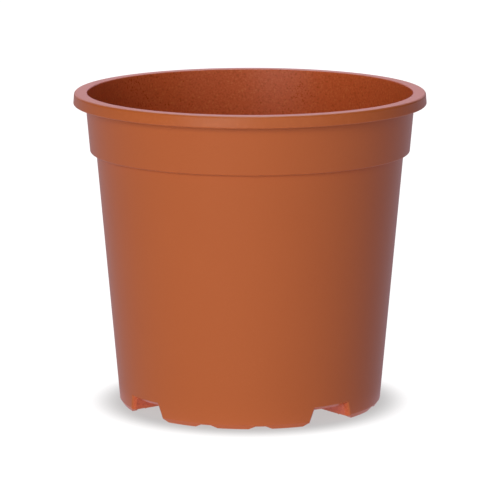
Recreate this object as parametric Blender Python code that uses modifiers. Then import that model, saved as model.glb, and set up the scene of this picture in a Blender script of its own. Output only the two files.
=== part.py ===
"""A moulded nursery pot with a rolled lip, a stacking collar and a foot ring cut by drainage notches.

The pot is one injection moulding, so it is one object. Its axis is +Z, it stands on z = 0, and its
two crossing drainage channels run along X and Y.
"""

import math

import bmesh
import bpy
from mathutils import Matrix, Vector

MM = 0.001

# Overall sizes, in millimetres.
HEIGHT = 170.0
RIM_RADIUS = 95.0  # widest radius, at the lower edge of the lip
DRAFT = math.radians(5.0)  # taper of the body, the collar and the lip

# Walls.
WALL = 1.4  # body and collar, measured along the radius
FOOT_WALL = 2.1  # thicker band of wall around the foot
FLOOR = 1.6  # floor panel and channel roofs
RIDGE_WALL = 1.6  # sides of the channels, measured level

# Lip and collar.
LIP_HEIGHT = 6.3
LIP_OVERHANG = 6.64  # from the collar's outer face to the lip's widest radius
LIP_SKIRT = 1.5
LIP_TOP = 1.8
COLLAR_HEIGHT = 25.8  # from the lip's lower edge down to the step
COLLAR_STEP = 3.25

# Rounded edges of the turned profile.
RIM_OUTER_ROUND = 1.3
RIM_INNER_ROUND = 0.8
LIP_LOWER_ROUND = 0.7
COLLAR_ROUND = 0.8
FLOOR_ROUND = 2.0

# Foot ring.
FOOT_HEIGHT = 1.5  # clear height under the floor panel
FOOT_WIDTH = 3.0
FOOT_CHAMFER_HEIGHT = 2.6
FOOT_CHAMFER_INSET = 1.8
FOOT_BAND_HEIGHT = 14.0  # top of the thick band of wall
FOOT_BAND_FADE = 4.0  # height over which the band thins to the wall

# Drainage channels under the floor. Each runs right across, from one notch to the one opposite.
CHANNELS = 2
CHANNEL_HEIGHT = 8.5
CHANNEL_FLOOR_HALF_WIDTH = 13.0
CHANNEL_ROOF_HALF_WIDTH = 10.0

# Notches, where the channels flare out through the foot wall.
NOTCH_HEIGHT = 10.3
NOTCH_FLOOR_HALF_WIDTH = 14.8
NOTCH_ROOF_HALF_WIDTH = 11.5
NOTCH_RELIEF = 1.6  # how much wider half of the mouth is at the ground, between the pads
FLARE_STEPS = 8

# Shallow gaps that divide the foot ring into pads, on each side of the middle of a quarter.
GAP_OFFSET = math.radians(12.0)
GAP_FLOOR_HALF_WIDTH = 6.2
GAP_ROOF_HALF_WIDTH = 3.0
GAP_BITE = 0.15  # how far gaps and notch mouths reach into the floor panel where they cross the ring

# Drainage holes: round ones in the floor panel, a slot in each channel roof.
HOLE_RADIUS = 4.0
HOLE_TO_FOOT = 8.0  # clear floor between the foot ring and the outer holes, in line with the gaps
HOLE_TO_RIDGE = 2.5  # clear floor between the ridges and the inner hole
SLOT_HALF_WIDTH = 3.0
SLOT_LENGTH = 16.0
SLOT_TO_FOOT = 12.0  # clear roof between the foot ring and a slot

# How finely curves are divided, and how far cutters pass the faces that they cut.
TURN_STEPS = 96
ROUND_STEPS = 3
HOLE_STEPS = 20
OVERCUT = 2.0
WELD = 0.00001

QUARTERS = 2 * CHANNELS
COLLAR_BOTTOM = HEIGHT - LIP_HEIGHT - COLLAR_HEIGHT
FLOOR_TOP = FOOT_HEIGHT + FLOOR

TERRACOTTA = (0.451, 0.128, 0.045, 1.0)


def collar_radius(z):
    """Outer radius of the collar at height z."""
    return RIM_RADIUS - LIP_OVERHANG - (HEIGHT - LIP_HEIGHT - z) * math.tan(DRAFT)


def body_radius(z):
    """Outer radius of the body below the step."""
    return collar_radius(z) - COLLAR_STEP


def foot_inner_radius():
    """Radius of the foot ring's inner face at floor level."""
    return body_radius(FOOT_CHAMFER_HEIGHT) - FOOT_CHAMFER_INSET - FOOT_WIDTH


def rounded(corners):
    """The outline through (r, z, radius) corners, with an arc in place of each corner that has a radius."""
    points = []
    for index, (r, z, radius) in enumerate(corners):
        corner = Vector((r, z))
        if not radius:
            points.append(corner)
            continue
        before = (Vector(corners[index - 1][:2]) - corner).normalized()
        after = (Vector(corners[index + 1][:2]) - corner).normalized()
        half_angle = before.angle(after) / 2
        centre = corner + (before + after).normalized() * (radius / math.sin(half_angle))
        start = corner + before * (radius / math.tan(half_angle)) - centre
        sweep = start.angle_signed(corner + after * (radius / math.tan(half_angle)) - centre)
        for step in range(ROUND_STEPS + 1):
            turned = Matrix.Rotation(-sweep * step / ROUND_STEPS, 2) @ start
            points.append(centre + turned)
    return points


def pot_outline():
    """The wall's section, from the axis over the floor, up the inside, over the lip and down the outside."""
    tan = math.tan(DRAFT)
    ledge = COLLAR_BOTTOM + WALL
    band_end = FOOT_BAND_HEIGHT + FOOT_BAND_FADE
    lip_bottom = HEIGHT - LIP_HEIGHT
    lip_ceiling = HEIGHT - LIP_TOP
    foot_radius = body_radius(FOOT_CHAMFER_HEIGHT) - FOOT_CHAMFER_INSET
    inside = [
        (0, FLOOR_TOP, 0),
        (body_radius(FLOOR_TOP) - FOOT_WALL, FLOOR_TOP, FLOOR_ROUND),
        (body_radius(FOOT_BAND_HEIGHT) - FOOT_WALL, FOOT_BAND_HEIGHT, 0),
        (body_radius(band_end) - WALL, band_end, 0),
        (body_radius(ledge) - WALL, ledge, 0),
        (collar_radius(ledge) - WALL, ledge, 0),
        (collar_radius(HEIGHT) - WALL, HEIGHT, RIM_INNER_ROUND),
    ]
    lip = [
        (RIM_RADIUS - LIP_HEIGHT * tan, HEIGHT, RIM_OUTER_ROUND),
        (RIM_RADIUS, lip_bottom, LIP_LOWER_ROUND),
        (RIM_RADIUS - LIP_SKIRT, lip_bottom, 0),
        (RIM_RADIUS - LIP_SKIRT - (LIP_HEIGHT - LIP_TOP) * tan, lip_ceiling, 0),
        (collar_radius(lip_ceiling), lip_ceiling, 0),
    ]
    outside = [
        (collar_radius(COLLAR_BOTTOM), COLLAR_BOTTOM, COLLAR_ROUND),
        (body_radius(COLLAR_BOTTOM), COLLAR_BOTTOM, 0),
        (body_radius(FOOT_CHAMFER_HEIGHT), FOOT_CHAMFER_HEIGHT, 0),
        (foot_radius, 0, 0),
        (foot_inner_radius(), 0, 0),
        (foot_inner_radius(), FOOT_HEIGHT, 0),
        (0, FOOT_HEIGHT, 0),
    ]
    return rounded(inside + lip + outside)


def core_outline():
    """A solid plug from halfway up the floor panel to above the ridges, with its side inside the foot wall."""
    bottom = FOOT_HEIGHT + FLOOR / 2
    top = CHANNEL_HEIGHT + FLOOR + OVERCUT
    return [
        Vector((0, top)),
        Vector((body_radius(top) - FOOT_WALL / 2, top)),
        Vector((body_radius(bottom) - FOOT_WALL / 2, bottom)),
        Vector((0, bottom)),
    ]


def make_collection(name):
    collection = bpy.data.collections.new(name)
    bpy.context.scene.collection.children.link(collection)
    return collection


def add_object(name, mesh, collection, is_cutter=True):
    thing = bpy.data.objects.new(name, mesh)
    collection.objects.link(thing)
    if is_cutter:
        thing.hide_render = True
        thing.display_type = "WIRE"
    return thing


def turned(name, outline, collection, is_cutter=True):
    """An outline in millimetres, turned round the Z axis with a Screw modifier."""
    mesh = bpy.data.meshes.new(name)
    vertices = [(point.x * MM, 0, point.y * MM) for point in outline]
    edges = [(index, index + 1) for index in range(len(outline) - 1)]
    mesh.from_pydata(vertices, edges, [])
    thing = add_object(name, mesh, collection, is_cutter)
    screw = thing.modifiers.new("Turn", "SCREW")
    screw.steps = TURN_STEPS
    screw.render_steps = TURN_STEPS
    screw.use_merge_vertices = True
    screw.merge_threshold = WELD
    return thing


def trough(name, collection, length, floor_half_width, roof_half_width, low, high):
    """A block along X, centred on the axis, whose sides lean in from its floor to its roof."""
    mesh = bpy.data.meshes.new(name)
    block = bmesh.new()
    bmesh.ops.create_cube(block, size=1.0)
    for vertex in block.verts:
        half_width, height = (roof_half_width, high) if vertex.co.z > 0 else (floor_half_width, low)
        vertex.co = Vector((vertex.co.x * length, math.copysign(half_width, vertex.co.y), height)) * MM
    block.to_mesh(mesh)
    block.free()
    return add_object(name, mesh, collection)


def flare(name, collection, inner, outer):
    """A cutter on +X that widens from one channel section to another as it passes out through the foot wall.

    A section is (depth behind the wall's outer face, half width at the ground, half width of the roof,
    height of the roof). Both ends of the cutter are curved as the wall is.
    """
    mesh = bpy.data.meshes.new(name)
    block = bmesh.new()
    bmesh.ops.create_cube(block, size=1.0)
    level_edges = [edge for edge in block.edges if edge.verts[0].co.y * edge.verts[1].co.y < 0]
    bmesh.ops.subdivide_edges(block, edges=level_edges, cuts=FLARE_STEPS - 1, use_grid_fill=True)
    for vertex in block.verts:
        depth, floor_half_width, roof_half_width, roof = outer if vertex.co.x > 0 else inner
        lean = (floor_half_width - roof_half_width) / roof
        height = roof if vertex.co.z > 0 else -OVERCUT
        across = 2 * vertex.co.y * (floor_half_width - lean * height)
        radius = body_radius(height) - depth
        vertex.co = Vector((math.sqrt(radius**2 - across**2), across, height)) * MM
    block.to_mesh(mesh)
    block.free()
    return add_object(name, mesh, collection)


def upright_cylinder(name, collection, radius, low, high):
    """A round cutter on the Z axis, turned so that its flats face X and Y."""
    mesh = bpy.data.meshes.new(name)
    body = bmesh.new()
    lift = Matrix.Translation((0, 0, (low + high) / 2 * MM))
    bmesh.ops.create_cone(
        body,
        cap_ends=True,
        segments=HOLE_STEPS,
        radius1=radius * MM,
        radius2=radius * MM,
        depth=(high - low) * MM,
        matrix=lift @ Matrix.Rotation(math.pi / HOLE_STEPS, 4, "Z"),
    )
    body.to_mesh(mesh)
    body.free()
    return add_object(name, mesh, collection)


def boolean(thing, operation, other):
    modifier = thing.modifiers.new(f"{operation.title()} {other.name}", "BOOLEAN")
    modifier.operation = operation
    modifier.object = other
    modifier.solver = "EXACT"


def place(thing, radius, angle):
    """Moves a cutter out from the axis along a direction, and turns its X axis to it."""
    thing.location = (radius * MM * math.cos(angle), radius * MM * math.sin(angle), 0)
    thing.rotation_euler.z = angle


def ring_trough(name, cutters, floor_half_width, roof_half_width, angle):
    """A cutter right across the foot ring, whose sides lean in to its roof width at the foot's height."""
    lean = (floor_half_width - roof_half_width) / FOOT_HEIGHT
    widest = floor_half_width + lean * OVERCUT
    narrowest = roof_half_width - lean * GAP_BITE
    start = math.sqrt(foot_inner_radius() ** 2 - widest**2) - OVERCUT
    end = body_radius(FOOT_HEIGHT) + OVERCUT
    cutter = trough(name, cutters, end - start, widest, narrowest, -OVERCUT, FOOT_HEIGHT + GAP_BITE)
    place(cutter, (start + end) / 2, angle)
    return cutter


def side_offset(height):
    """How much half of a channel narrows over a height, because its sides lean."""
    return height * (CHANNEL_FLOOR_HALF_WIDTH - CHANNEL_ROOF_HALF_WIDTH) / CHANNEL_HEIGHT


def ridge_half_width(height):
    """Distance from the middle of a channel to the outer face of its side, seen from inside the pot."""
    return CHANNEL_FLOOR_HALF_WIDTH + RIDGE_WALL - side_offset(height)


def add_channels(pot, cutters):
    """Raises a hollow ridge across the floor for each channel, and opens it from wall to wall."""
    core = turned("ridge_trim", core_outline(), cutters)
    ridge_top = CHANNEL_HEIGHT + FLOOR
    channel_half_widths = (CHANNEL_FLOOR_HALF_WIDTH + side_offset(OVERCUT), CHANNEL_ROOF_HALF_WIDTH)
    angles = [math.pi * index / CHANNELS for index in range(CHANNELS)]
    for index, angle in enumerate(angles):
        half_widths = (ridge_half_width(-OVERCUT), ridge_half_width(ridge_top))
        ridge = trough(f"ridge_{index}", cutters, 2 * RIM_RADIUS, *half_widths, -OVERCUT, ridge_top)
        place(ridge, 0, angle)
        boolean(ridge, "INTERSECT", core)
        boolean(pot, "UNION", ridge)
    for index, angle in enumerate(angles):
        span = 2 * RIM_RADIUS
        channel = trough(f"channel_{index}", cutters, span, *channel_half_widths, -OVERCUT, CHANNEL_HEIGHT)
        place(channel, 0, angle)
        boolean(pot, "DIFFERENCE", channel)


def flare_notches(pot, cutters):
    """Widens the ends of the channels through the foot wall, and relieves the pads beside them."""
    channel = Vector((FOOT_WALL, CHANNEL_FLOOR_HALF_WIDTH, CHANNEL_ROOF_HALF_WIDTH, CHANNEL_HEIGHT))
    mouth = Vector((0, NOTCH_FLOOR_HALF_WIDTH, NOTCH_ROOF_HALF_WIDTH, NOTCH_HEIGHT))
    overrun = (mouth - channel) * OVERCUT / FOOT_WALL
    notch_lean = (NOTCH_FLOOR_HALF_WIDTH - NOTCH_ROOF_HALF_WIDTH) / NOTCH_HEIGHT
    notch_half_width = NOTCH_FLOOR_HALF_WIDTH - FOOT_HEIGHT * notch_lean
    relief_half_width = NOTCH_FLOOR_HALF_WIDTH + NOTCH_RELIEF
    for quarter in range(QUARTERS):
        angle = math.tau * quarter / QUARTERS
        notch = flare(f"notch_{quarter}", cutters, channel - overrun, mouth + overrun)
        place(notch, 0, angle)
        boolean(pot, "DIFFERENCE", notch)
        relief_name = f"notch_relief_{quarter}"
        relief = ring_trough(relief_name, cutters, relief_half_width, notch_half_width, angle)
        boolean(pot, "DIFFERENCE", relief)


def quarter_middles():
    """Directions halfway between neighbouring notches."""
    return [math.tau * (index + 0.5) / QUARTERS for index in range(QUARTERS)]


def divide_foot_ring(pot, cutters):
    """Cuts the shallow gaps that leave three pads in each quarter of the foot ring."""
    half_widths = (GAP_FLOOR_HALF_WIDTH, GAP_ROOF_HALF_WIDTH)
    for quarter, middle in enumerate(quarter_middles()):
        for side, word in ((-1, "left"), (1, "right")):
            angle = middle + side * GAP_OFFSET
            gap = ring_trough(f"pad_gap_{quarter}_{word}", cutters, *half_widths, angle)
            boolean(pot, "DIFFERENCE", gap)


def drill_floor(pot, cutters):
    """Drills three round holes through each quarter of the floor panel."""
    low, high = FOOT_HEIGHT - OVERCUT, FLOOR_TOP + OVERCUT
    outer_radius = foot_inner_radius() - HOLE_TO_FOOT - HOLE_RADIUS
    inner_radius = (ridge_half_width(0) + HOLE_TO_RIDGE + HOLE_RADIUS) / math.sin(math.pi / QUARTERS)
    spots = [(outer_radius, -GAP_OFFSET), (outer_radius, GAP_OFFSET), (inner_radius, 0)]
    for quarter, middle in enumerate(quarter_middles()):
        for number, (radius, offset) in enumerate(spots):
            hole = upright_cylinder(f"hole_{quarter}_{number}", cutters, HOLE_RADIUS, low, high)
            place(hole, radius, middle + offset)
            boolean(pot, "DIFFERENCE", hole)


def slot_channel_roofs(pot, cutters):
    """Cuts a round-ended slot through each channel roof."""
    radius = foot_inner_radius() - SLOT_TO_FOOT - SLOT_LENGTH / 2
    straight = SLOT_LENGTH / 2 - SLOT_HALF_WIDTH
    low, high = CHANNEL_HEIGHT - OVERCUT, CHANNEL_HEIGHT + FLOOR + OVERCUT
    for quarter in range(QUARTERS):
        angle = math.tau * quarter / QUARTERS
        slot = upright_cylinder(f"roof_slot_{quarter}", cutters, SLOT_HALF_WIDTH, low, high)
        for vertex in slot.data.vertices:
            vertex.co.x += math.copysign(straight * MM, vertex.co.x)
        place(slot, radius, angle)
        boolean(pot, "DIFFERENCE", slot)


def terracotta_plastic():
    material = bpy.data.materials.new("terracotta_plastic")
    material.use_nodes = True
    shader = material.node_tree.nodes["Principled BSDF"]
    shader.inputs["Base Color"].default_value = TERRACOTTA
    shader.inputs["Roughness"].default_value = 0.38
    shader.inputs["Metallic"].default_value = 0.0
    material.diffuse_color = TERRACOTTA
    return material


def clear_scene():
    for thing in list(bpy.data.objects):
        bpy.data.objects.remove(thing, do_unlink=True)


def main():
    clear_scene()
    parts = make_collection("terracotta_pot")
    cutters = make_collection("cutters")
    pot = turned("pot", pot_outline(), parts, is_cutter=False)
    add_channels(pot, cutters)
    flare_notches(pot, cutters)
    divide_foot_ring(pot, cutters)
    drill_floor(pot, cutters)
    slot_channel_roofs(pot, cutters)
    pot.modifiers.new("Shade flat faces flat", "WEIGHTED_NORMAL")
    pot.data.materials.append(terracotta_plastic())


main()
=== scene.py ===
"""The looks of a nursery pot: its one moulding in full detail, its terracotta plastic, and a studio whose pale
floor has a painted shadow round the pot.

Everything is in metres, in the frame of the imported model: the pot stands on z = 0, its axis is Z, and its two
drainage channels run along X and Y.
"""

import logging
import math
from collections.abc import Callable, Iterable, Sequence
from dataclasses import dataclass, field
from enum import Enum

import bmesh
import bpy
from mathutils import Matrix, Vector

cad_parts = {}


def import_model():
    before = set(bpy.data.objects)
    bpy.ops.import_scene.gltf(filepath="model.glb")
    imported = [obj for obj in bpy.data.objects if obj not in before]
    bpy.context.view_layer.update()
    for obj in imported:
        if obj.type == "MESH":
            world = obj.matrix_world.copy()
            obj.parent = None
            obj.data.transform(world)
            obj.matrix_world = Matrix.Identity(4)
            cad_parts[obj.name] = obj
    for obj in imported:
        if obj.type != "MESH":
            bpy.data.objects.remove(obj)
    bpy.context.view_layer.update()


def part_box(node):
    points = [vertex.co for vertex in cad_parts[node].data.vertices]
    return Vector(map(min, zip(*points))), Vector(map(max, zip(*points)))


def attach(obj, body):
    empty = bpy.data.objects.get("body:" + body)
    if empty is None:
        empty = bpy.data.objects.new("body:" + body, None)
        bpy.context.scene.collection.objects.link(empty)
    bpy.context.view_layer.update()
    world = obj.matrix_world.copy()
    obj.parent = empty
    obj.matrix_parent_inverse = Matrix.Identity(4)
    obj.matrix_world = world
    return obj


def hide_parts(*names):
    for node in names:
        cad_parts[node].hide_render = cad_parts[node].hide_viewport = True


log = logging.getLogger("nursery_pot")

MM = 0.001
TOUCHING = 0.01 * MM
AXIS = (0.0, 0.0, 1.0)
CENTRE = (0.0, 0.0, 0.0)


class Cut(Enum):
    """What a tool body does to the piece that it meets."""

    JOIN = "UNION"
    REMOVE = "DIFFERENCE"
    KEEP_COMMON = "INTERSECT"


class Pick(Enum):
    """Which elements of a mesh a selection is made of."""

    CORNERS = "VERT"
    EDGES = "EDGE"


# ----------------------------------------------------------------------------------------------------------
# Mesh work
# ----------------------------------------------------------------------------------------------------------


@dataclass(frozen=True)
class Corner:
    """One corner of a turned outline, in millimetres.

    Args:
        r: Distance from the pot's axis.
        z: Height above the ground.
        round: Radius of the arc that softens the corner, or 0 for a point that stays as it is.
    """

    r: float
    z: float
    round: float = 0.0


class Workpiece:
    """A mesh object on the bench, shaped step by step with Blender's operators."""

    def __init__(self, obj: bpy.types.Object, name: str) -> None:
        """Takes over an object that an operator has just added.

        Args:
            obj: The new object.
            name: The name that it gets.
        """
        self.obj = obj
        obj.name = name
        obj.data.name = name

    @classmethod
    def block(cls, name: str, size: Sequence[float], centre: Sequence[float]) -> "Workpiece":
        """Adds a rectangular block.

        Args:
            name: Name of the new object.
            size: Lengths along X, Y and Z, in metres.
            centre: Where its middle goes.

        Returns:
            The block, with its size in its mesh.
        """
        bpy.ops.object.select_all(action="DESELECT")
        bpy.ops.mesh.primitive_cube_add(size=1, location=centre, scale=size)
        return cls(bpy.context.object, name).settle()

    @classmethod
    def disc_body(
        cls, name: str, radius: float, depth: float, centre: Sequence[float], sides: int
    ) -> "Workpiece":
        """Adds an upright cylinder.

        Args:
            name: Name of the new object.
            radius: Its radius, in metres.
            depth: Its height.
            centre: Where its middle goes.
            sides: How many flats its side has.

        Returns:
            The cylinder, with its place in its mesh.
        """
        bpy.ops.object.select_all(action="DESELECT")
        bpy.ops.mesh.primitive_cylinder_add(vertices=sides, radius=radius, depth=depth, location=centre)
        return cls(bpy.context.object, name).settle()

    @classmethod
    def turning(cls, name: str, outline: Sequence[Corner], steps: int, arc_step: float) -> "Workpiece":
        """Draws an outline beside the axis, rounds its corners, and spins it into a turned body.

        Args:
            name: Name of the new object.
            outline: The corners in order. The first and the last lie on the axis.
            steps: How many steps make a full turn.
            arc_step: Largest angle between neighbouring points of a rounded corner, in radians.

        Returns:
            The turned body, closed, with its faces pointing out.
        """
        bpy.ops.object.select_all(action="DESELECT")
        bpy.ops.mesh.primitive_plane_add(size=MM)
        piece = cls(bpy.context.object, name)
        points = [Vector((corner.r * MM, 0, corner.z * MM)) for corner in outline]
        with piece.editing():
            bpy.ops.mesh.select_mode(type=Pick.CORNERS.value)
            bpy.ops.mesh.select_all(action="SELECT")
            bpy.ops.mesh.merge(type="CENTER")
            bpy.ops.transform.translate(value=points[0])
            for here, following in zip(points, points[1:]):
                bpy.ops.mesh.extrude_region_move(TRANSFORM_OT_translate={"value": following - here})
        for index, corner in enumerate(outline):
            if corner.round:
                before, here, after = points[index - 1 : index + 2]
                opening = (before - here).angle(after - here)
                piece.round_corner(here, corner.round * MM, opening, arc_step)
        with piece.editing():
            bpy.ops.mesh.select_all(action="SELECT")
            bpy.ops.mesh.spin(steps=steps, angle=math.tau, center=CENTRE, axis=AXIS)
            bpy.ops.mesh.select_all(action="SELECT")
            bpy.ops.mesh.remove_doubles(threshold=TOUCHING)
            bpy.ops.mesh.normals_make_consistent(inside=False)
        return piece

    def editing(self) -> "EditSession":
        """Opens the piece in edit mode for the length of a with block."""
        return EditSession(self.obj)

    def settle(self) -> "Workpiece":
        """Moves the object's place, turn and size into its mesh.

        Returns:
            The piece.
        """
        self.make_only_selected()
        bpy.ops.object.transform_apply(location=True, rotation=True, scale=True)
        return self

    def make_only_selected(self) -> None:
        """Deselects everything else and makes this piece the active one."""
        bpy.ops.object.select_all(action="DESELECT")
        self.obj.select_set(True)
        bpy.context.view_layer.objects.active = self.obj

    def select(self, pick: Pick, test: Callable[[Vector], bool]) -> None:
        """In edit mode, selects the elements whose every corner passes a test.

        Args:
            pick: Corners or edges.
            test: Says whether a corner at that place counts.
        """
        bpy.ops.mesh.select_mode(type=pick.value)
        bpy.ops.mesh.select_all(action="DESELECT")
        mesh = bmesh.from_edit_mesh(self.obj.data)
        if pick is Pick.CORNERS:
            for vertex in mesh.verts:
                vertex.select_set(test(vertex.co))
        else:
            for edge in mesh.edges:
                edge.select_set(all(test(vertex.co) for vertex in edge.verts))
        bmesh.update_edit_mesh(self.obj.data)

    def round_corner(self, place: Vector, radius: float, opening: float, arc_step: float) -> None:
        """Rounds one corner of a drawn outline.

        Args:
            place: Where the corner is.
            radius: Radius of the arc.
            opening: Angle between the two lines that meet there, in radians.
            arc_step: Largest angle between neighbouring points of the arc.
        """
        reach = radius / math.tan(opening / 2)
        segments = max(2, math.ceil((math.pi - opening) / arc_step))
        with self.editing():
            self.select(Pick.CORNERS, lambda co: (co - place).length < 0.001 * MM)
            bpy.ops.mesh.bevel(offset=reach, segments=segments, affect="VERTICES", clamp_overlap=False)

    def taper(self, share: float) -> "Workpiece":
        """Narrows a block across Y towards its top.

        Args:
            share: Share of its width that the top keeps.

        Returns:
            The piece.
        """
        heights = [vertex.co.z for vertex in self.obj.data.vertices]
        middle = (min(heights) + max(heights)) / 2
        with self.editing():
            self.select(Pick.CORNERS, lambda co: co.z > middle)
            bpy.ops.transform.resize(value=(1, share, 1), center_override=CENTRE)
        return self

    def soften(self, test: Callable[[Vector], bool], width: float, segments: int) -> "Workpiece":
        """Rounds the edges whose two ends pass a test.

        Args:
            test: Says whether an end at that place counts.
            width: Width of the rounding along each face.
            segments: How many faces it is made of.

        Returns:
            The piece.
        """
        with self.editing():
            self.select(Pick.EDGES, test)
            bpy.ops.mesh.bevel(offset=width, segments=segments, affect="EDGES")
        return self

    def turn(self, angle: float) -> "Workpiece":
        """Turns the piece about the pot's axis by an angle in radians, anticlockwise from above."""
        self.obj.rotation_euler.z = angle
        return self.settle()

    def copy(self, name: str) -> "Workpiece":
        """Copies the piece.

        Args:
            name: Name of the copy.

        Returns:
            The copy, with its own mesh.
        """
        self.make_only_selected()
        bpy.ops.object.duplicate(linked=False)
        return Workpiece(bpy.context.object, name)

    def repeat(self, angles: Iterable[float]) -> "Workpiece":
        """Copies the piece to several angles about the pot's axis, as one object in place of this one.

        Args:
            angles: One angle for each copy, in radians.

        Returns:
            The joined copies.
        """
        name = self.obj.name
        copies = [self.copy(f"{name}_{number}").turn(angle) for number, angle in enumerate(angles)]
        bpy.data.objects.remove(self.obj)
        bpy.ops.object.select_all(action="DESELECT")
        for piece in copies:
            piece.obj.select_set(True)
        bpy.context.view_layer.objects.active = copies[0].obj
        bpy.ops.object.join()
        return Workpiece(bpy.context.object, name)

    def work(self, cut: Cut, tool: "Workpiece") -> "Workpiece":
        """Joins, cuts or trims the piece with a tool body, which is used up.

        Args:
            cut: What the tool does.
            tool: The tool body.

        Returns:
            The piece.
        """
        self.make_only_selected()
        modifier = self.obj.modifiers.new(cut.name.title(), "BOOLEAN")
        modifier.operation = cut.value
        modifier.solver = "EXACT"
        modifier.object = tool.obj
        bpy.ops.object.modifier_apply(modifier=modifier.name)
        bpy.data.objects.remove(tool.obj)
        return self.clean()

    def clean(self) -> "Workpiece":
        """Merges corners that lie on each other and removes faces and edges without size."""
        with self.editing():
            bpy.ops.mesh.select_all(action="SELECT")
            bpy.ops.mesh.remove_doubles(threshold=TOUCHING)
            bpy.ops.mesh.dissolve_degenerate(threshold=TOUCHING)
            bpy.ops.mesh.select_all(action="DESELECT")
        return self

    def ease_edges(self, width: float, segments: int, angle: float) -> "Workpiece":
        """Gives every sharp edge that is left a small round.

        Args:
            width: Width of the round.
            segments: How many faces it is made of.
            angle: Edges that turn by more than this many radians are sharp.

        Returns:
            The piece.
        """
        self.make_only_selected()
        modifier = self.obj.modifiers.new("Eased edges", "BEVEL")
        modifier.limit_method = "ANGLE"
        modifier.angle_limit = angle
        modifier.width = width
        modifier.segments = segments
        modifier.use_clamp_overlap = False
        modifier.miter_outer = "MITER_ARC"
        bpy.ops.object.modifier_apply(modifier=modifier.name)
        return self

    def finish(self, sharp_angle: float) -> "Workpiece":
        """Merges stray corners and shades the piece, with flat shading on its large faces.

        Args:
            sharp_angle: Edges that turn by more than this many radians stay sharp.

        Returns:
            The piece.
        """
        with self.editing():
            bpy.ops.mesh.select_all(action="SELECT")
            bpy.ops.mesh.remove_doubles(threshold=0.002 * MM)
        self.make_only_selected()
        bpy.ops.object.shade_smooth_by_angle(angle=sharp_angle)
        modifier = self.obj.modifiers.new("Large faces lead", "WEIGHTED_NORMAL")
        modifier.keep_sharp = True
        modifier.weight = 100
        bpy.ops.object.modifier_apply(modifier=modifier.name)
        return self


class EditSession:
    """A with block in edit mode on one object."""

    def __init__(self, obj: bpy.types.Object) -> None:
        """Remembers the object to edit."""
        self.obj = obj

    def __enter__(self) -> None:
        """Selects only the object and enters edit mode."""
        bpy.ops.object.select_all(action="DESELECT")
        self.obj.select_set(True)
        bpy.context.view_layer.objects.active = self.obj
        bpy.ops.object.mode_set(mode="EDIT")

    def __exit__(self, *_: object) -> None:
        """Goes back to object mode."""
        bpy.ops.object.mode_set(mode="OBJECT")


# ----------------------------------------------------------------------------------------------------------
# The pot. Sizes are in millimetres, as a mould maker writes them.
# ----------------------------------------------------------------------------------------------------------


@dataclass
class Wall:
    """The turned wall: body, collar with its step, rolled lip, floor panel and foot ring."""

    height: float
    rim_radius: float
    draft: float = math.radians(5.0)
    thickness: float = 1.4
    foot_thickness: float = 2.1
    floor: float = 1.6
    lip_height: float = 6.3
    lip_overhang: float = 6.64
    lip_skirt: float = 1.5
    lip_top: float = 1.8
    collar_height: float = 25.8
    collar_step: float = 3.25
    foot_height: float = 1.5
    foot_width: float = 3.0
    chamfer_height: float = 2.6
    chamfer_inset: float = 1.8
    band_height: float = 14.0
    band_fade: float = 4.0
    steps: int = 264
    arc_step: float = math.radians(12.0)

    @property
    def lip_bottom(self) -> float:
        """Height of the lip's lower edge."""
        return self.height - self.lip_height

    @property
    def collar_bottom(self) -> float:
        """Height of the step under the collar."""
        return self.lip_bottom - self.collar_height

    @property
    def floor_top(self) -> float:
        """Height of the floor panel's upper face."""
        return self.foot_height + self.floor

    def collar_radius(self, z: float) -> float:
        """Outer radius of the collar at a height."""
        return self.rim_radius - self.lip_overhang - (self.lip_bottom - z) * math.tan(self.draft)

    def body_radius(self, z: float) -> float:
        """Outer radius of the body at a height."""
        return self.collar_radius(z) - self.collar_step

    @property
    def foot_inner_radius(self) -> float:
        """Radius of the foot ring's inner face."""
        return self.body_radius(self.chamfer_height) - self.chamfer_inset - self.foot_width

    def outline(self) -> list[Corner]:
        """The wall's section, from the axis over the floor, up the inside, over the lip and down the outside.

        Returns:
            The corners of the closed outline.
        """
        lean = math.tan(self.draft)
        ledge = self.collar_bottom + self.thickness
        band_end = self.band_height + self.band_fade
        ceiling = self.height - self.lip_top
        skirt_inner = self.rim_radius - self.lip_skirt
        inside = [
            Corner(0, self.floor_top),
            Corner(self.body_radius(self.floor_top) - self.foot_thickness, self.floor_top, 2.0),
            Corner(self.body_radius(self.band_height) - self.foot_thickness, self.band_height, 6.0),
            Corner(self.body_radius(band_end) - self.thickness, band_end, 6.0),
            Corner(self.body_radius(ledge) - self.thickness, ledge, 0.6),
            Corner(self.collar_radius(ledge) - self.thickness, ledge, 0.9),
            Corner(self.collar_radius(self.height) - self.thickness, self.height, 0.8),
        ]
        lip = [
            Corner(self.rim_radius - self.lip_height * lean, self.height, 1.3),
            Corner(self.rim_radius, self.lip_bottom, 0.7),
            Corner(skirt_inner, self.lip_bottom, 0.3),
            Corner(skirt_inner - (self.lip_height - self.lip_top) * lean, ceiling, 0.5),
            Corner(self.collar_radius(ceiling), ceiling, 0.5),
        ]
        outside = [
            Corner(self.collar_radius(self.collar_bottom), self.collar_bottom, 0.8),
            Corner(self.body_radius(self.collar_bottom), self.collar_bottom, 0.4),
            Corner(self.body_radius(self.band_height), self.band_height),
            Corner(self.body_radius(self.chamfer_height), self.chamfer_height),
            Corner(self.body_radius(self.chamfer_height) - self.chamfer_inset, 0),
            Corner(self.foot_inner_radius, 0),
            Corner(self.foot_inner_radius, self.foot_height),
            Corner(0, self.foot_height),
        ]
        return inside + lip + outside

    def build(self) -> Workpiece:
        """Turns the wall."""
        return Workpiece.turning("pot", self.outline(), self.steps, self.arc_step)


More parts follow.
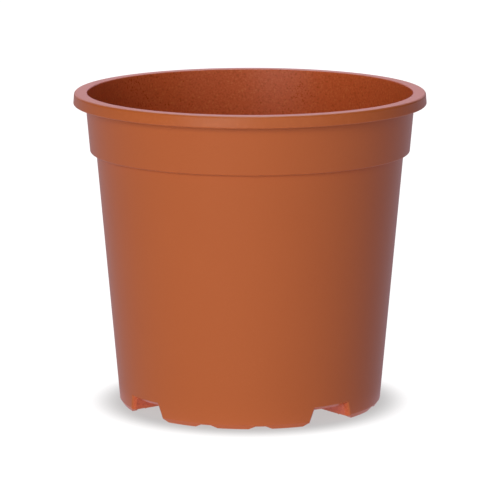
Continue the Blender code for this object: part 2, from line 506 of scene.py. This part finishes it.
@dataclass
class Channels:
    """Two hollow ridges that cross the floor and drain through the foot wall."""

    wall: Wall
    count: int = 2
    height: float = 8.5
    floor_half_width: float = 13.0
    roof_half_width: float = 10.0
    side_wall: float = 1.6
    overcut: float = 2.0
    ridge_round: float = 1.6
    roof_round: float = 0.7

    @property
    def quarters(self) -> int:
        """How many notches the channels end in."""
        return 2 * self.count

    def notch_angles(self) -> list[float]:
        """Directions of the notches."""
        return [math.tau * index / self.quarters for index in range(self.quarters)]

    def quarter_middles(self) -> list[float]:
        """Directions halfway between the notches."""
        return [angle + math.pi / self.quarters for angle in self.notch_angles()]

    def side_offset(self, z: float) -> float:
        """How much half of a channel narrows over a height."""
        return z * (self.floor_half_width - self.roof_half_width) / self.height

    def ridge_half_width(self, z: float) -> float:
        """Distance from a channel's middle to the outer face of its side at a height."""
        return self.floor_half_width + self.side_wall - self.side_offset(z)

    def trough(
        self, name: str, low: float, high: float, wide: float, narrow: float, soft: float
    ) -> Workpiece:
        """A long block whose sides lean in towards its roof, with rounded upper edges.

        Args:
            name: Name of the block.
            low: Height of its floor.
            high: Height of its roof.
            wide: Half its width at the floor.
            narrow: Half its width at the roof.
            soft: Width of the rounding along its upper edges.

        Returns:
            The block, lying along X.
        """
        length = 2 * self.wall.rim_radius
        size = (length * MM, 2 * wide * MM, (high - low) * MM)
        block = Workpiece.block(name, size, (0, 0, (low + high) / 2 * MM)).taper(narrow / wide)
        top = (high - 0.01) * MM
        side = (narrow - 0.01) * MM
        return block.soften(lambda co: co.z > top and abs(co.y) > side, soft * MM, 5)

    def core(self) -> Workpiece:
        """Turns what the ridges are trimmed to, so that they end inside the foot wall.

        Returns:
            A plug from inside the floor panel to above the ridges.
        """
        wall = self.wall
        bottom = wall.foot_height + wall.floor / 2
        top = self.height + wall.floor + self.overcut
        inset = wall.foot_thickness / 2
        outline = [
            Corner(0, top),
            Corner(wall.body_radius(top) - inset, top),
            Corner(wall.body_radius(bottom) - inset, bottom),
            Corner(0, bottom),
        ]
        return Workpiece.turning("ridge_trim", outline, wall.steps, wall.arc_step)

    def build(self, pot: Workpiece) -> None:
        """Raises the ridges on the pot's floor and hollows them out.

        Args:
            pot: The turned wall.
        """
        low, top = -self.overcut, self.height + self.wall.floor
        half_widths = (self.ridge_half_width(low), self.ridge_half_width(top))
        crossing = [math.pi * index / self.count for index in range(self.count)]
        for angle in crossing:
            ridge = self.trough("ridge", low, top, *half_widths, self.ridge_round).turn(angle)
            pot.work(Cut.JOIN, ridge.work(Cut.KEEP_COMMON, self.core()))
        half_widths = (self.floor_half_width + self.side_offset(self.overcut), self.roof_half_width)
        for angle in crossing:
            channel = self.trough("channel", low, self.height, *half_widths, self.roof_round)
            pot.work(Cut.REMOVE, channel.turn(angle))


@dataclass
class Foot:
    """The notches that the channels flare into, and the pads between them."""

    wall: Wall
    channels: Channels
    notch_height: float = 10.3
    notch_floor_half_width: float = 14.8
    notch_roof_half_width: float = 11.5
    notch_relief: float = 1.6
    flare_steps: int = 12
    gap_offset: float = math.radians(12.0)
    gap_floor_half_width: float = 6.2
    gap_roof_half_width: float = 3.0
    gap_bite: float = 0.15

    def flare(self) -> Workpiece:
        """A cutter on +X that widens from the channel's section to the notch's through the foot wall.

        Returns:
            The cutter, whose two ends are curved as the wall is.
        """
        wall, channels = self.wall, self.channels
        over = channels.overcut
        channel = Vector(
            (wall.foot_thickness, channels.floor_half_width, channels.roof_half_width, channels.height)
        )
        mouth = Vector((0, self.notch_floor_half_width, self.notch_roof_half_width, self.notch_height))
        overrun = (mouth - channel) * over / wall.foot_thickness
        inner, outer = channel - overrun, mouth + overrun
        block = Workpiece.block("notch", (MM, MM, MM), CENTRE)
        with block.editing():
            bpy.ops.mesh.select_mode(type=Pick.EDGES.value)
            bpy.ops.mesh.select_all(action="DESELECT")
            for edge in bmesh.from_edit_mesh(block.obj.data).edges:
                edge.select_set(edge.verts[0].co.y * edge.verts[1].co.y < 0)
            bpy.ops.mesh.subdivide(number_cuts=self.flare_steps - 1)
        for vertex in block.obj.data.vertices:
            depth, floor_half, roof_half, roof = outer if vertex.co.x > 0 else inner
            height = roof if vertex.co.z > 0 else -over
            across = 2 * vertex.co.y / MM * (floor_half - (floor_half - roof_half) / roof * height)
            radius = wall.body_radius(height) - depth
            vertex.co = Vector((math.sqrt(radius**2 - across**2), across, height)) * MM
        return block

    def radial_trough(self, name: str, floor_half: float, roof_half: float) -> Workpiece:
        """A short block across the foot ring on +X that bites into the floor panel, with sides that lean in.

        Args:
            name: Name of the block.
            floor_half: Half its width at the ground.
            roof_half: Half its width at the floor panel.

        Returns:
            The block, which reaches below the ground with its sides carried on.
        """
        wall, over = self.wall, self.channels.overcut
        lean = (floor_half - roof_half) / wall.foot_height
        carried = floor_half + lean * over
        roof = wall.foot_height + self.gap_bite
        start = math.sqrt(wall.foot_inner_radius**2 - carried**2) - over
        end = wall.body_radius(wall.foot_height) + over
        size = ((end - start) * MM, 2 * carried * MM, (roof + over) * MM)
        middle = ((start + end) / 2 * MM, 0, (roof - over) / 2 * MM)
        block = Workpiece.block(name, size, middle)
        return block.taper((roof_half - lean * self.gap_bite) / carried)

    def build(self, pot: Workpiece) -> None:
        """Opens the notches and divides the foot ring.

        Args:
            pot: The pot with its channels.
        """
        quarters = self.channels.notch_angles()
        pot.work(Cut.REMOVE, self.flare().repeat(quarters))
        lean = (self.notch_floor_half_width - self.notch_roof_half_width) / self.notch_height
        half_width = self.notch_floor_half_width - self.wall.foot_height * lean
        widened = self.notch_floor_half_width + self.notch_relief
        relief = self.radial_trough("notch_relief", widened, half_width)
        pot.work(Cut.REMOVE, relief.repeat(quarters))
        gap = self.radial_trough("pad_gap", self.gap_floor_half_width, self.gap_roof_half_width)
        sides = (-self.gap_offset, self.gap_offset)
        pot.work(Cut.REMOVE, gap.repeat([q + s for q in self.channels.quarter_middles() for s in sides]))


@dataclass
class Drainage:
    """Round holes in the floor panel and round-ended slots in the channel roofs."""

    wall: Wall
    channels: Channels
    foot: Foot
    hole_radius: float = 4.0
    hole_to_foot: float = 8.0
    hole_to_ridge: float = 2.5
    slot_half_width: float = 3.0
    slot_length: float = 16.0
    slot_to_foot: float = 12.0
    sides: int = 40

    def drill(self, name: str, radius: float, distance: float, low: float, high: float) -> Workpiece:
        """An upright round cutter on +X.

        Args:
            name: Name of the cutter.
            radius: Its radius.
            distance: How far its axis is from the pot's.
            low: Where it starts.
            high: Where it ends.

        Returns:
            The cutter.
        """
        centre = (distance * MM, 0, (low + high) / 2 * MM)
        return Workpiece.disc_body(name, radius * MM, (high - low) * MM, centre, self.sides)

    def slot(self) -> Workpiece:
        """Draws a round cutter out lengthways.

        Returns:
            A round-ended cutter on +X, through a channel's roof.
        """
        over, roof = self.channels.overcut, self.channels.height
        middle = self.wall.foot_inner_radius - self.slot_to_foot - self.slot_length / 2
        half = self.slot_length / 2 - self.slot_half_width
        low, high = roof - over, roof + self.wall.floor + over
        cutter = self.drill("roof_slot", self.slot_half_width, middle, low, high)
        with cutter.editing():
            for side in (-1, 1):
                cutter.select(Pick.CORNERS, lambda co: (co.x - middle * MM) * side > 0.001 * MM)
                bpy.ops.transform.translate(value=(side * half * MM, 0, 0))
        return cutter

    def build(self, pot: Workpiece) -> None:
        """Opens every hole and slot.

        Args:
            pot: The pot with its foot.
        """
        over = self.channels.overcut
        low, high = self.wall.foot_height - over, self.wall.floor_top + over
        middles = self.channels.quarter_middles()
        outer = self.wall.foot_inner_radius - self.hole_to_foot - self.hole_radius
        clear = self.channels.ridge_half_width(0) + self.hole_to_ridge + self.hole_radius
        inner = clear / math.sin(math.pi / self.channels.quarters)
        sides = (-self.foot.gap_offset, self.foot.gap_offset)
        outer_holes = self.drill("outer_holes", self.hole_radius, outer, low, high)
        pot.work(Cut.REMOVE, outer_holes.repeat([middle + side for middle in middles for side in sides]))
        pot.work(Cut.REMOVE, self.drill("inner_holes", self.hole_radius, inner, low, high).repeat(middles))
        pot.work(Cut.REMOVE, self.slot().repeat(self.channels.notch_angles()))


@dataclass
class MouldMarks:
    """What the mould leaves on the underside: a dimple with the gate's stub."""

    wall: Wall
    channels: Channels
    dimple_radius: float = 4.5
    dimple_depth: float = 0.45
    stub_radius: float = 0.9
    stub_height: float = 0.35
    sides: int = 48

    def build(self, pot: Workpiece) -> None:
        """Presses the dimple into the roof where the channels cross, and leaves the stub in it.

        Args:
            pot: The pot with its drainage.
        """
        roof = self.channels.height
        over = self.channels.overcut
        dimple_roof = roof + self.dimple_depth
        centre = (0, 0, (roof - over + dimple_roof) / 2 * MM)
        depth = (dimple_roof - roof + over) * MM
        dimple = Workpiece.disc_body("gate_dimple", self.dimple_radius * MM, depth, centre, self.sides)
        pot.work(Cut.REMOVE, dimple)
        buried = self.wall.floor / 3
        centre = (0, 0, (dimple_roof + (buried - self.stub_height) / 2) * MM)
        depth = (self.stub_height + buried) * MM
        stub = Workpiece.disc_body("gate_stub", self.stub_radius * MM, depth, centre, self.sides)
        pot.work(Cut.JOIN, stub)


@dataclass
class Pot:
    """The whole pot, one moulding."""

    wall: Wall
    channels: Channels = field(init=False)
    foot: Foot = field(init=False)
    drainage: Drainage = field(init=False)
    marks: MouldMarks = field(init=False)
    eased_edge: float = 0.25
    eased_angle: float = math.radians(50.0)
    sharp_angle: float = math.radians(25.0)

    def __post_init__(self) -> None:
        """Sizes each group of features from the wall that it belongs to."""
        self.channels = Channels(self.wall)
        self.foot = Foot(self.wall, self.channels)
        self.drainage = Drainage(self.wall, self.channels, self.foot)
        self.marks = MouldMarks(self.wall, self.channels)

    @classmethod
    def from_frame(cls) -> "Pot":
        """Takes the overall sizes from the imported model."""
        low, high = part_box("pot")
        return cls(Wall(height=(high.z - low.z) / MM, rim_radius=high.x / MM))

    def build(self) -> Workpiece:
        """Models the pot from its wall to its last mark.

        Returns:
            The finished mesh.
        """
        pot = self.wall.build()
        self.channels.build(pot)
        self.foot.build(pot)
        self.drainage.build(pot)
        self.marks.build(pot)
        pot.ease_edges(self.eased_edge * MM, 2, self.eased_angle)
        return pot.finish(self.sharp_angle)

    def dress(self, pot: Workpiece) -> None:
        """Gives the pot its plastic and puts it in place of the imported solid.

        Args:
            pot: The finished mesh.
        """
        finish = TerracottaPlastic(self.wall)
        pot.obj.name = "nursery_pot"
        pot.obj.data.materials.clear()
        pot.obj.data.materials.append(finish.material())
        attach(pot.obj, "root")
        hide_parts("pot")


# ----------------------------------------------------------------------------------------------------------
# The plastic
# ----------------------------------------------------------------------------------------------------------


class Value:
    """A number that changes over a surface: a socket that Python expressions can use."""

    def __init__(self, graph: "Graph", socket: bpy.types.NodeSocket) -> None:
        """Wraps a socket of a graph."""
        self.graph = graph
        self.socket = socket

    def __add__(self, other: "Value | float") -> "Value":
        """Adds."""
        return self.graph.math("ADD", self, other)

    def __sub__(self, other: "Value | float") -> "Value":
        """Subtracts."""
        return self.graph.math("SUBTRACT", self, other)

    def __rsub__(self, other: float) -> "Value":
        """Subtracts from a number."""
        return self.graph.math("SUBTRACT", other, self)

    def __mul__(self, other: "Value | float") -> "Value":
        """Multiplies."""
        return self.graph.math("MULTIPLY", self, other)

    def __pow__(self, other: float) -> "Value":
        """Raises to a power."""
        return self.graph.math("POWER", self, other)

    __radd__ = __add__
    __rmul__ = __mul__


class Graph:
    """A material's node tree."""

    def __init__(self, name: str) -> None:
        """Makes a material with an empty tree.

        Args:
            name: Name of the material.
        """
        self.result = bpy.data.materials.new(name)
        self.result.use_nodes = True
        self.tree = self.result.node_tree
        self.tree.nodes.clear()

    def node(self, kind: str, settings: dict | None = None, inputs: dict | None = None) -> bpy.types.Node:
        """Adds a node.

        Args:
            kind: The node's type.
            settings: Its own properties, which are set first.
            inputs: A value, socket or Value for each of its sockets, by name or number.

        Returns:
            The node.
        """
        node = self.tree.nodes.new(kind)
        for name, value in (settings or {}).items():
            setattr(node, name, value)
        for name, value in (inputs or {}).items():
            self.feed(node.inputs[name], value)
        return node

    def feed(self, socket: bpy.types.NodeSocket, value: object) -> None:
        """Links a socket to what a Value or another socket gives, or sets it to a constant.

        Args:
            socket: The socket to feed.
            value: What it gets.
        """
        source = value.socket if isinstance(value, Value) else value
        if isinstance(source, bpy.types.NodeSocket):
            self.tree.links.new(source, socket)
        else:
            socket.default_value = source

    def math(self, operation: str, *operands: "Value | float") -> Value:
        """Adds a Math node and returns what it gives."""
        node = self.node("ShaderNodeMath", {"operation": operation}, dict(enumerate(operands)))
        return Value(self, node.outputs[0])

    def step(self, value: Value, low: float, high: float) -> Value:
        """A smooth step.

        Args:
            value: What is tested.
            low: Where the step starts.
            high: Where it ends.

        Returns:
            0 at low, 1 at high, and a smooth rise between them.
        """
        inputs = {"Value": value, "From Min": low, "From Max": high}
        node = self.node("ShaderNodeMapRange", {"interpolation_type": "SMOOTHSTEP"}, inputs)
        return Value(self, node.outputs[0])

    def noise(self, place: bpy.types.NodeSocket, feature: float, detail: float = 2.0) -> Value:
        """Noise around zero.

        Args:
            place: The coordinates that it is read at.
            feature: Size of its largest lumps, in millimetres.
            detail: How many finer layers it has.

        Returns:
            A value mostly between -1 and 1.
        """
        inputs = {"Vector": place, "Scale": 1 / (feature * MM), "Detail": detail}
        node = self.node("ShaderNodeTexNoise", {}, inputs)
        return (Value(self, node.outputs[0]) - 0.5) * 2

    def scale(self, colour: Sequence[float], strength: Value) -> bpy.types.NodeSocket:
        """A colour made brighter or darker by a value."""
        inputs = {0: colour, "Scale": strength}
        return self.node("ShaderNodeVectorMath", {"operation": "SCALE"}, inputs).outputs[0]

    def mix(self, share: Value, first: object, second: object) -> bpy.types.NodeSocket:
        """Mixes two colours.

        Args:
            share: How much of the second colour is used.
            first: A colour or a colour socket.
            second: A colour or a colour socket.

        Returns:
            The mixed colour.
        """
        node = self.node("ShaderNodeMix", {"data_type": "RGBA"})
        sockets = {socket.name: socket for socket in node.inputs if socket.enabled}
        for name, value in {"Factor": share, "A": first, "B": second}.items():
            self.feed(sockets[name], value)
        return next(socket for socket in node.outputs if socket.enabled)


@dataclass(frozen=True)
class TerracottaPlastic:
    """Through-coloured satin plastic, finely grained on the outside and mottled on the inside.

    Args:
        wall: The wall that it covers.
        colour: Colour of the outside.
        inner_colour: Colour of the inside.
        pale: Colour of the lightest specks and of worn edges.
        deep: Colour of the darkest specks.
        outer_roughness: Roughness of the outside.
        inner_roughness: Roughness of the inside.
        ior: Index of refraction.
        cloud: Size of the faint clouds in the colour, in millimetres.
        speck: Size of the specks.
        grain: Size of the mould's grain.
        rubbed_patch: Size of the patches that edges wear in.
        rubbed_height: How far up the pads wear.
        rubbed_width: How far in from its edge the lip wears.
    """

    wall: Wall
    colour: tuple[float, float, float, float] = (0.50, 0.126, 0.029, 1.0)
    inner_colour: tuple[float, float, float, float] = (0.55, 0.105, 0.028, 1.0)
    pale: tuple[float, float, float, float] = (0.60, 0.17, 0.05, 1.0)
    deep: tuple[float, float, float, float] = (0.40, 0.075, 0.014, 1.0)
    outer_roughness: float = 0.30
    inner_roughness: float = 0.28
    ior: float = 1.46
    cloud: float = 35.0
    speck: float = 1.1
    grain: float = 0.4
    rubbed_patch: float = 2.5
    rubbed_height: float = 1.2
    rubbed_width: float = 0.9

    def material(self) -> bpy.types.Material:
        """Builds the shader.

        Returns:
            The material.
        """
        graph = Graph("terracotta_plastic")
        place = graph.node("ShaderNodeTexCoord").outputs["Object"]
        split = graph.node("ShaderNodeSeparateXYZ", {}, {0: place})
        x, y, z = (Value(graph, socket) for socket in split.outputs)
        radius = (x * x + y * y) ** 0.5
        inside = self.inside_mask(graph, radius, z)
        clouds = graph.noise(place, self.cloud, 3.0)
        speckle = graph.noise(place, self.speck, 3.0)
        grain = graph.noise(place, self.grain, 1.0)
        patches = graph.step(graph.noise(place, self.rubbed_patch, 4.0), -0.1, 0.5)
        wear = self.wear_mask(graph, radius, z) * patches
        tone = clouds * 0.25 + speckle * (0.3 + inside * 1.6)
        colour = graph.mix(inside, self.colour, self.inner_colour)
        colour = graph.mix(graph.step(tone, 0.0, 1.0), colour, self.pale)
        colour = graph.mix(graph.step(tone, 0.0, -1.0), colour, self.deep)
        colour = graph.mix(wear * 0.35, colour, self.pale)
        roughness = inside * (self.inner_roughness - self.outer_roughness) + self.outer_roughness
        roughness = roughness + clouds * 0.01 + speckle * 0.01 + wear * 0.12
        height = (grain * 0.5 + speckle * 0.5) * (1.0 - inside * 0.95)
        bump = graph.node("ShaderNodeBump", {}, {"Strength": 0.06, "Distance": 0.1 * MM, "Height": height})
        shader = graph.node(
            "ShaderNodeBsdfPrincipled",
            {},
            {"Base Color": colour, "Roughness": roughness, "IOR": self.ior, "Normal": bump.outputs[0]},
        )
        graph.node("ShaderNodeOutputMaterial", {}, {"Surface": shader.outputs[0]})
        return graph.result

    def inside_mask(self, graph: Graph, radius: Value, z: Value) -> Value:
        """Tells the pot's inside from its outside.

        Args:
            graph: The material's tree.
            radius: Distance from the axis.
            z: Height.

        Returns:
            1 on the inside and 0 on the outside.
        """
        wall = self.wall
        half = wall.thickness / 2
        ledge = (wall.collar_bottom + half) * MM
        collar = graph.step(z, ledge - 0.1 * MM, ledge + 0.1 * MM) * (wall.collar_step * MM)
        middle = z * math.tan(wall.draft) + (wall.body_radius(0) - half) * MM + collar
        above_panel = graph.step(z, wall.foot_height * MM, wall.floor_top * MM)
        return graph.step(middle - radius, -0.2 * MM, 0.2 * MM) * above_panel

    def wear_mask(self, graph: Graph, radius: Value, z: Value) -> Value:
        """Finds the edges that rub: the lip's outer edge and the pads.

        Args:
            graph: The material's tree.
            radius: Distance from the axis.
            z: Height.

        Returns:
            1 where the plastic rubs on other pots and on the bench, fading to 0.
        """
        wall = self.wall
        fade = 0.1 * MM
        rim = wall.rim_radius * MM
        pads = graph.step(z, self.rubbed_height * MM, fade)
        lip_edge = graph.step(radius, rim - self.rubbed_width * MM, rim - fade)
        return pads + lip_edge * 0.7


# ----------------------------------------------------------------------------------------------------------
# The studio
# ----------------------------------------------------------------------------------------------------------


PINK = (1.0, 0.68, 0.82)
WHITE = (1.0, 1.0, 1.0)


@dataclass(frozen=True)
class Softbox:
    """A rectangular area light that faces the pot.

    Args:
        name: Name of the light.
        azimuth: Direction it stands in, seen from the pot, in degrees anticlockwise from the camera.
        elevation: Height above the horizon, in degrees.
        distance: How far it is from the pot, in metres.
        width: Its width.
        height: Its height.
        power: Power in watts.
        mirrored: Whether it shows in reflections.
        tint: Its colour.
    """

    name: str
    azimuth: float
    elevation: float
    distance: float
    width: float
    height: float
    power: float
    mirrored: bool = True
    tint: tuple[float, float, float] = WHITE

    def place(self, towards_camera: float, target: Vector) -> None:
        """Adds the light.

        Args:
            towards_camera: Direction from the pot to the camera, in radians from +X.
            target: What the light faces.
        """
        angle = towards_camera + math.radians(self.azimuth)
        lift = math.radians(self.elevation)
        level = Vector((math.cos(angle), math.sin(angle), 0)) * math.cos(lift)
        position = target + (level + Vector((0, 0, math.sin(lift)))) * self.distance
        bpy.ops.object.light_add(type="AREA", location=position)
        light = bpy.context.object
        light.name = self.name
        light.visible_glossy = self.mirrored
        light.data.shape = "RECTANGLE"
        light.data.size = self.width
        light.data.size_y = self.height
        light.data.energy = self.power
        light.data.color = self.tint
        light.rotation_euler = (target - position).to_track_quat("-Z", "Y").to_euler()


@dataclass(frozen=True)
class Studio:
    """A pale floor with a painted shadow round the pot, soft lights and the camera."""

    camera_yaw: float = math.radians(-37.61)
    camera_pitch: float = math.radians(10.743)
    camera_distance: float = 1.7936
    camera_height: float = 0.4233
    lens: float = 242.5
    floor_size: float = 14.0
    floor_colour: tuple[float, float, float, float] = (0.15, 0.15, 0.15, 1.0)
    light_under_pot: float = 0.6
    light_around: float = 0.38
    floor_tint: tuple[float, float, float] = (1.0, 0.80, 0.97)
    # The glow that the camera sees is dimmer under the pot and comes back to full across a ring round the foot.
    # This is a painted shadow, not one that the lights cast. Across the same ring, the light that the floor
    # throws goes from its level under the pot to its level around it.
    painted_shadow_glow: float = 0.50
    glow_around: float = 1.0
    painted_shadow_start: float = 0.068
    painted_shadow_end: float = 0.092
    surroundings: float = 0.07
    surroundings_tint: tuple[float, float, float, float] = (1.0, 0.8, 1.0, 1.0)
    aim_height: float = 0.08
    softboxes: tuple[Softbox, ...] = (
        Softbox("key", -21.0, 14.0, distance=2.2, width=1.3, height=1.3, power=29.0, mirrored=False),
        Softbox("front_fill", 0.0, 10.0, distance=2.6, width=6.0, height=1.6, power=13.0),
        Softbox("overhead", 0.0, 80.0, distance=2.2, width=0.6, height=0.6, power=6.0),
        Softbox("top_back", 180.0, 60.0, distance=2.0, width=1.0, height=1.0, power=11.0),
        Softbox("backdrop", 180.0, 24.0, distance=2.4, width=3.2, height=1.6, power=16.0, tint=PINK),
    )

    def build(self) -> None:
        """Sets everything up around the pot."""
        self.lay_floor()
        self.light()
        self.aim_camera()

    def lay_floor(self) -> None:
        """Adds the floor: a pale sheet that glows towards the camera, dimmer under and round the pot as a
        painted shadow, and throws a dimmer light on the pot.
        """
        bpy.ops.mesh.primitive_circle_add(vertices=96, radius=self.floor_size / 2, fill_type="NGON")
        floor = bpy.context.object
        floor.name = "studio_floor"
        graph = Graph("studio_floor")
        place = graph.node("ShaderNodeTexCoord").outputs["Object"]
        length = graph.node("ShaderNodeVectorMath", {"operation": "LENGTH"}, {0: place})
        radius = Value(graph, length.outputs["Value"])
        around = graph.step(radius, self.painted_shadow_start, self.painted_shadow_end)
        seen = Value(graph, graph.node("ShaderNodeLightPath").outputs["Is Camera Ray"])
        # Painted shadow: the camera sees the floor dimmer under and round the pot.
        glow = around * (self.glow_around - self.painted_shadow_glow) + self.painted_shadow_glow
        light = around * (self.light_around - self.light_under_pot) + self.light_under_pot
        paint = {"Base Color": self.floor_colour, "Roughness": 0.9, "Specular IOR Level": 0.0}
        thrown = graph.scale(self.floor_tint, light)
        shown = graph.scale(WHITE, glow)
        shine = {"Emission Color": graph.mix(seen, thrown, shown), "Emission Strength": 1.0}
        shader = graph.node("ShaderNodeBsdfPrincipled", {}, paint | shine)
        graph.node("ShaderNodeOutputMaterial", {}, {"Surface": shader.outputs[0]})
        floor.data.materials.append(graph.result)

    def light(self) -> None:
        """Adds the softboxes and the even light of the room."""
        scene = bpy.context.scene
        world = bpy.data.worlds.new("studio")
        world.use_nodes = True
        background = world.node_tree.nodes["Background"]
        background.inputs["Color"].default_value = self.surroundings_tint
        background.inputs["Strength"].default_value = self.surroundings
        scene.world = world
        scene.view_settings.view_transform = "Standard"
        for softbox in self.softboxes:
            softbox.place(self.camera_yaw - math.pi / 2, Vector((0, 0, self.aim_height)))

    def aim_camera(self) -> None:
        """Adds the camera, which looks slightly down on the pot."""
        yaw, distance = self.camera_yaw, self.camera_distance
        place = (math.sin(yaw) * distance, -math.cos(yaw) * distance, self.camera_height)
        bpy.ops.object.camera_add(location=place, rotation=(math.pi / 2 - self.camera_pitch, 0, yaw))
        camera = bpy.context.object
        camera.data.lens = self.lens
        camera.data.sensor_width = 36.0
        camera.data.clip_end = 50.0
        bpy.context.scene.camera = camera


def main() -> None:
    """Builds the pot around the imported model, then the studio."""
    logging.basicConfig(level=logging.INFO, format="%(name)s: %(message)s")
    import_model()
    pot = Pot.from_frame()
    mesh = pot.build()
    pot.dress(mesh)
    log.info("nursery_pot has %d faces", len(mesh.obj.data.polygons))
    Studio().build()


if __name__ == "__main__":
    main()
